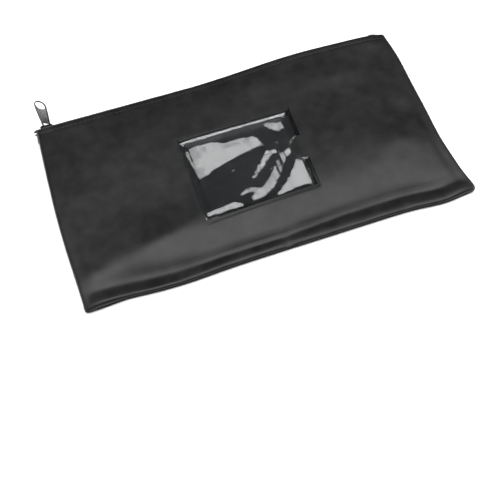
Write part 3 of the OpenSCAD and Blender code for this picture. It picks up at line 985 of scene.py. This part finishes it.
def row_tree():
    """Repeats the object's own mesh along X, parted near the low end as the slider parts the chain."""
    tree = Tree("Chain Row", (
        ("Start", "Vector", (0, 0, 0)), ("Count", "Int", 10), ("Pitch", "Float", 0.001),
        ("Spread", "Float", 0.0), ("Spread From", "Float", 0.0), ("Spread Run", "Float", 0.004),
        ("Material", "Material", None)))
    add, given = tree.add, tree.given
    step = add("ShaderNodeCombineXYZ", X=given["Pitch"])
    line = add("GeometryNodeMeshLine", Count=given["Count"], Start_Location=given["Start"], Offset=step[0])
    along = add("ShaderNodeSeparateXYZ", add("GeometryNodeInputPosition")[0])["X"]
    end = add("ShaderNodeMath", given["Spread From"], given["Spread Run"])
    apart = add("ShaderNodeMapRange", interpolation_type="SMOOTHSTEP", Value=along,
                From_Min=given["Spread From"], From_Max=end[0], To_Min=given["Spread"], To_Max=0.0)
    shift = add("ShaderNodeCombineXYZ", Z=apart["Result"])
    moved = add("GeometryNodeSetPosition", Geometry=line[0], Offset=shift[0])
    copies = add("GeometryNodeInstanceOnPoints", Points=moved[0], Instance=given["Geometry"])
    return tree.finish(copies[0])


def path_tree():
    """Lays copies of a template along the object's own chain of edges, turned to follow it."""
    tree = Tree("Stitch Row", (
        ("Pitch", "Float", 0.003), ("Stitch", "Object", None), ("Material", "Material", None)))
    add, given = tree.add, tree.given
    curve = add("GeometryNodeMeshToCurve", Mesh=given["Geometry"])
    even = add("GeometryNodeResampleCurve", mode="LENGTH", Curve=curve[0], Length=given["Pitch"])
    turn = add("FunctionNodeAlignRotationToVector", axis="X", Vector=add("GeometryNodeInputTangent")[0])
    stitch = add("GeometryNodeObjectInfo", Object=given["Stitch"])
    copies = add("GeometryNodeInstanceOnPoints", Points=even[0], Instance=stitch["Geometry"],
                 Rotation=turn[0])
    return tree.finish(copies[0])


TREES = {}


def run_tree(obj, kind, values):
    """Runs one of the trees on an object and leaves its result as a plain mesh."""
    if kind not in TREES:
        TREES[kind] = {"row": row_tree, "path": path_tree}[kind]()
    tree, ids = TREES[kind]
    modifier = obj.modifiers.new(tree.name, "NODES")
    modifier.node_group = tree
    for name, value in values.items():
        modifier[ids[name]] = value
    obj.update_tag()
    bpy.context.view_layer.update()
    baked(obj)
    obj.data.polygons.foreach_set("use_smooth", [True] * len(obj.data.polygons))
    return obj


COIL_RINGS = 11


def coil_turn(side, pitch, wire):
    """One turn of the coil: out round the cord, in to the head, and on by a pitch."""
    head, back = -0.3, COIL_REACH - SPREAD - wire
    tall = COIL_HIGH[1] - COIL_LOW[1]
    route = []
    for t in np.linspace(0, 1, COIL_RINGS):
        a = 2 * math.pi * t
        z = lerp(head + wire, back, 0.5 - 0.5 * math.cos(a))
        y = tall / 2 - math.sin(a) * (tall / 2 - wire) * (1.0 if abs(math.sin(a)) > 0.3 else 1.1)
        x = pitch * (t - 0.5) * smooth(abs(t - 0.5) / 0.5)
        route.append((x, y, z * side))
    points, faces = tube(route, wire, 6)
    rings = points.reshape(COIL_RINGS, 6, 3)
    centre = np.array(route)[:, None]
    ring = np.arange(COIL_RINGS)
    swell = 1 + 0.35 * bump(ring, 1.2) + 0.35 * bump(ring - COIL_RINGS + 1, 1.2)
    rings = centre + (rings - centre) * swell[:, None, None]
    return rings.reshape(-1, 3), faces


class BAG_OT_coils(bpy.types.Operator):
    """Nylon coils with their filler cords and the thread that sews them to the tapes"""
    bl_idname = "bag.coils"
    bl_label = "Coils"

    def execute(self, context):
        z = context.scene.bag_zipper
        s = sizes(z)
        pitch, wire = s["pitch"], s["wire"]
        span = COIL_HIGH[0] - COIL_LOW[0] - 1.2
        count = int(span / pitch)
        common = {"Spread From": SPREAD_FROM * MM, "Spread Run": SPREAD_RUN * MM}
        for side, word, phase in ((1, "front", 0), (-1, "back", 0.5)):
            start = (COIL_LOW[0] + 0.6 + phase * pitch, COIL_LOW[1], CHAIN_Z)
            name = word + "_coil_turns"
            points, faces = coil_turn(side, pitch, wire)
            coil = link(name, mesh_of(name, points, faces))
            run_tree(coil, "row", {**common, "Start": [c * MM for c in start], "Count": count,
                                   "Pitch": z.pitch, "Spread": side * SPREAD * MM,
                                   "Material": material("nylon")})
            finish_piece(coil, [word + "_coil"], "bag")

            xs = np.concatenate([np.arange(COIL_LOW[0], SPREAD_FROM + SPREAD_RUN + 1, 0.8),
                                 np.arange(SPREAD_FROM + SPREAD_RUN + 4, COIL_HIGH[0], 3)])
            middle = (COIL_LOW[1] + COIL_HIGH[1]) / 2
            route = [(x, middle, CHAIN_Z + side * (1.35 + spread_at(x))) for x in xs]
            name = word + "_coil_filler"
            cord = link(name, mesh_of(name, *tube(route, 0.42, 10)), material("thread"))
            finish_piece(outward(cord), [word + "_coil_cord"], "bag")

            name = word + "_coil_sewing"
            points, faces = capsule(2.2, 0.14, 0.12)
            thread = link(name, mesh_of(name, points[:, [0, 2, 1]], faces))
            top = (COIL_LOW[0] + 1.7, COIL_HIGH[1] + 0.1, CHAIN_Z + side * 1.2)
            run_tree(thread, "row", {**common, "Start": [c * MM for c in top], "Count": count // 2 - 1,
                                     "Pitch": 2 * z.pitch, "Spread": side * SPREAD * MM,
                                     "Material": material("thread")})
            finish_piece(outward(thread), [word + "_coil_stitching"], "bag")
        return {"FINISHED"}


# ---------------------------------------------------------------- threads

def stitch_row(name, route, pitch, stitch_points, node, up_side=1):
    """Copies of one stitch along a route given in millimetres."""
    template_points, faces = stitch_points
    template = link(name + "_one", mesh_of(name + "_one", template_points * (1, 1, up_side), faces))
    mesh = bpy.data.meshes.new(name)
    edges = [(i, i + 1) for i in range(len(route) - 1)]
    mesh.from_pydata((np.array(route) * MM).tolist(), edges, [])
    obj = link(name, mesh)
    run_tree(obj, "path", {"Pitch": pitch * MM, "Stitch": template, "Material": material("thread")})
    bpy.data.objects.remove(template)
    finish_piece(outward(obj), [node], "bag")
    return obj


class BAG_OT_topstitches(bpy.types.Operator):
    """Rows of lockstitches along both hems"""
    bl_idname = "bag.topstitches"
    bl_label = "Topstitches"

    def execute(self, context):
        s = sizes(context.scene.bag_zipper)
        xs = np.linspace(-HALF_L + 5, HALF_L - 5, 160)
        ys = np.full_like(xs, HALF_H - TOPSTITCH_IN)
        stitch = capsule(s["stitch"], 0.21, 0.25)
        top = front_height(xs, ys) + 0.1
        bx, by = bowed(xs, ys)
        stitch_row("front_topstitch_thread", np.stack([bx, by, top], 1), s["stitch_pitch"], stitch,
                   "front_topstitch")
        low = back_height(xs, ys) - 0.1
        stitch_row("back_topstitch_thread", np.stack([bx, by, low], 1), s["stitch_pitch"], stitch,
                   "back_topstitch", -1)
        return {"FINISHED"}


class BAG_OT_seam_threads(bpy.types.Operator):
    """Lockstitches through the turned-in seam allowances"""
    bl_idname = "bag.seam_threads"
    bl_label = "Seam Threads"

    def execute(self, context):
        s = sizes(context.scene.bag_zipper)
        stitch = capsule(s["stitch"], 0.2, 0.15)
        inset = 4.7
        ys = np.linspace(-HALF_H + 6, HALF_H - 8, 40)
        for side, word in ((-1, "left"), (1, "right")):
            route = np.stack([np.full_like(ys, side * (HALF_L - inset)), ys, seam_z(ys) + 0.75], 1)
            stitch_row(word + "_seam_lockstitch", route, s["stitch_pitch"], stitch, word + "_seam_thread")
        xs = np.linspace(-HALF_L + 12, HALF_L - 12, 60)
        ys = np.full_like(xs, -HALF_H + inset)
        route = np.stack([xs, ys, seam_z(ys) + 0.75], 1)
        stitch_row("bottom_seam_lockstitch", route, s["stitch_pitch"], stitch, "bottom_seam_thread")
        return {"FINISHED"}


def build_tack(name, node, rows, random_source):
    """Threads laid side by side across both tapes, each a little out of line."""
    low, high = box_mm(node)
    points, faces = [], []
    for i in range(rows):
        x = lerp(low[0] + 0.2, high[0] - 0.2, i / (rows - 1))
        steps = np.linspace(0, 1, 9)
        lean = random_source.uniform(-0.15, 0.15)
        middle = (low[1] + high[1]) / 2 + 0.12 + end_loop(x)
        route = np.stack([x + lean * (steps - 0.5), middle - 0.35 * (2 * steps - 1) ** 6,
                          lerp(low[2], high[2], steps)], 1)
        p, f = tube(route, 0.2, 7)
        faces += [tuple(k + sum(len(q) for q in points) for k in face) for face in f]
        points.append(p)
    obj = link(name, mesh_of(name, np.vstack(points), faces), material("thread"))
    return finish_piece(outward(obj), [node], "bag")


class BAG_OT_end_tacks(bpy.types.Operator):
    """Tacks that close the two ends of the zipper"""
    bl_idname = "bag.end_tacks"
    bl_label = "End Tacks"

    def execute(self, context):
        source = random.Random(4)
        rows = context.scene.bag_zipper.stitch_rows
        build_tack("left_end_tack_thread", "left_end_tack", rows, source)
        build_tack("right_end_tack_thread", "right_end_tack", rows + 2, source)
        return {"FINISHED"}


# ---------------------------------------------------------------- slider and pull

def softened_copy(node, name, bevel, segments=2):
    """A copy of a node's shape with its flat faces joined and its edges rounded."""
    mesh = frame["nodes"][node].data.copy()
    mesh.materials.clear()
    b = bmesh.new()
    b.from_mesh(mesh)
    bmesh.ops.remove_doubles(b, verts=b.verts, dist=0.002 * MM)
    bmesh.ops.dissolve_limit(b, angle_limit=math.radians(1), verts=b.verts, edges=b.edges)
    bmesh.ops.recalc_face_normals(b, faces=b.faces)
    b.to_mesh(mesh)
    b.free()
    obj = link(name, mesh, material("metal"))
    round_edges = obj.modifiers.new("edges", "BEVEL")
    round_edges.width = bevel * MM
    round_edges.segments = segments
    round_edges.limit_method = "ANGLE"
    round_edges.angle_limit = math.radians(28)
    baked(obj)
    obj.data.polygons.foreach_set("use_smooth", [True] * len(obj.data.polygons))
    obj.data.set_sharp_from_angle(angle=math.radians(38))
    return obj


def mark_length(obj, axes):
    """Keeps each point's place along the pull in an attribute, for the drawn lines."""
    inverse = np.linalg.inv(np.array(axes).T)
    co = np.array([v.co for v in obj.data.vertices]) - PULL_PIVOT * MM
    layer = obj.data.attributes.new("along_pull", "FLOAT_VECTOR", "POINT")
    layer.data.foreach_set("vector", (co @ inverse.T).ravel())


class BAG_OT_slider(bpy.types.Operator):
    """Slider body with its post and bridge"""
    bl_idname = "bag.slider"
    bl_label = "Slider"

    def execute(self, context):
        obj = softened_copy("slider_body", "slider_body_plated", 0.14)
        mark_length(obj, np.eye(3))
        finish_piece(obj, ["slider_body"], "slider")
        return {"FINISHED"}


PULL_YAW, PULL_LEAN = math.radians(-29), math.radians(3.5)
WEB_HALF = 0.34  # the web's faces lie within this of the pull's middle plane, in millimetres


class BAG_OT_pull(bpy.types.Operator):
    """Ring pull that stands on the slider's bridge"""
    bl_idname = "bag.pull"
    bl_label = "Pull"

    def execute(self, context):
        obj = softened_copy("pull_tab", "pull_tab_plated", 0.16)
        turn = Matrix.Rotation(PULL_YAW, 3, "Z") @ Matrix.Rotation(PULL_LEAN, 3, "Y")
        across, out, along = (turn @ Vector(v) for v in ((1, 0, 0), (0, 1, 0), (0, 0, 1)))
        mark_length(obj, [across, along, out])
        # The web's flat faces take the lighter web colour, which paints in their reflection of the bright
        # surroundings.
        obj.data.materials.append(material("web"))
        depths = [v.co.dot(out) / MM for v in obj.data.vertices]
        middle = (min(depths) + max(depths)) / 2
        for face in obj.data.polygons:
            sunk = abs(face.center.dot(out) / MM - middle) < WEB_HALF
            if sunk and abs(face.normal.dot(out)) > 0.9:
                face.material_index = 1
        finish_piece(obj, ["pull_tab"], "pull")
        return {"FINISHED"}


# ---------------------------------------------------------------- stage

CAMERA_AT = Vector((-94.96, -286.19, 410.46)) * MM
CAMERA_RIGHT = Vector((0.94295, -0.33258, -0.01513))
CAMERA_UP = Vector((0.29704, 0.81994, 0.48936))
CAMERA_LENS = 49.87


# Soft lights: name, place, the point that it faces, its sides and its power
LIGHTS = (
    ("overhead_softbox", (0.1, -0.1, 1.1), (0.1, -0.1, 0), (2.0, 1.2), 28),
    ("overhead_core", (0.15, 0.05, 1.08), (0.15, 0.05, 0), (1.0, 0.6), 3.8),
    ("left_card", (-1.3, 0.1, 0.35), (0, 0, 0), (0.8, 0.5), 5),
    ("right_card", (1.3, 0.0, 0.35), (0, 0, 0), (0.8, 0.5), 5),
)
SKY_COLOUR, SKY_STRENGTH = (0.8, 0.85, 0.9, 1), 0.12
FLOOR_HALF = 3000


def area_light(name, place, look_at, sides, power):
    data = bpy.data.lights.new(name, "AREA")
    data.shape = "RECTANGLE"
    data.size, data.size_y = sides
    data.energy = power
    obj = bpy.data.objects.new(name, data)
    obj.location = place
    obj.rotation_euler = (Vector(look_at) - Vector(place)).to_track_quat("-Z", "Y").to_euler()
    bpy.context.scene.collection.objects.link(obj)


class BAG_OT_stage(bpy.types.Operator):
    """Pale floor, soft lights and the camera"""
    bl_idname = "bag.stage"
    bl_label = "Stage"

    def execute(self, context):
        scene = context.scene
        floor_m = Shader("pale_floor")
        dust = floor_m.noise(40, 2)
        floor_m.join(floor_m.spread(dust, "Fac", 0.88, 0.9), "Color", floor_m.surface, "Base Color")
        floor_m.set(Roughness=0.8)
        corners = [(a * FLOOR_HALF, b * FLOOR_HALF, 0) for a, b in ((-1, -1), (1, -1), (1, 1), (-1, 1))]
        floor = link("floor", mesh_of("floor", corners, [(0, 1, 2, 3)], False), floor_m.material)
        world = bpy.data.worlds.new("studio")
        world.use_nodes = True
        sky = world.node_tree.nodes["Background"].inputs
        sky["Color"].default_value = SKY_COLOUR
        sky["Strength"].default_value = SKY_STRENGTH
        scene.world = world
        for light in LIGHTS:
            area_light(*light)
        data = bpy.data.cameras.new("camera")
        data.sensor_width = 36
        data.lens = CAMERA_LENS
        data.clip_start = 0.01
        camera = bpy.data.objects.new("camera", data)
        back = CAMERA_RIGHT.cross(CAMERA_UP)
        turn = Matrix((CAMERA_RIGHT, CAMERA_UP, back)).transposed()
        camera.matrix_world = Matrix.Translation(CAMERA_AT) @ turn.to_4x4()
        scene.collection.objects.link(camera)
        scene.camera = camera
        scene.view_settings.view_transform = "Standard"
        return {"FINISHED"}


# ---------------------------------------------------------------- add-on

class BAG_PT_panel(bpy.types.Panel):
    """The bag's sizes, colours and operators"""
    bl_idname = "BAG_PT_panel"
    bl_label = "Deposit Bag"
    bl_space_type = "VIEW_3D"
    bl_region_type = "UI"
    bl_category = "Deposit Bag"

    def draw(self, context):
        for group in ("bag_leather", "bag_window", "bag_zipper"):
            settings = getattr(context.scene, group)
            for prop in settings.bl_rna.properties:
                if prop.identifier not in ("rna_type", "name"):
                    self.layout.prop(settings, prop.identifier)
        for operator in OPERATORS:
            self.layout.operator(operator.bl_idname)


GROUPS = {"bag_leather": BagLeather, "bag_window": BagWindow, "bag_zipper": BagZipper}
OPERATORS = (BAG_OT_stage, BAG_OT_leather_panels, BAG_OT_card_window, BAG_OT_zipper_tapes, BAG_OT_coils,
             BAG_OT_topstitches, BAG_OT_seam_threads, BAG_OT_end_tacks, BAG_OT_slider, BAG_OT_pull)
CLASSES = (*GROUPS.values(), *OPERATORS, BAG_PT_panel)


def register():
    for c in CLASSES:
        bpy.utils.register_class(c)
    for name, group in GROUPS.items():
        setattr(bpy.types.Scene, name, PointerProperty(type=group))


def unregister():
    for name in GROUPS:
        delattr(bpy.types.Scene, name)
    for c in reversed(CLASSES):
        bpy.utils.unregister_class(c)


def main():
    register()
    for operator in OPERATORS:
        group, name = operator.bl_idname.split(".")
        getattr(getattr(bpy.ops, group), name)()


if __name__ == "__main__":
    main()
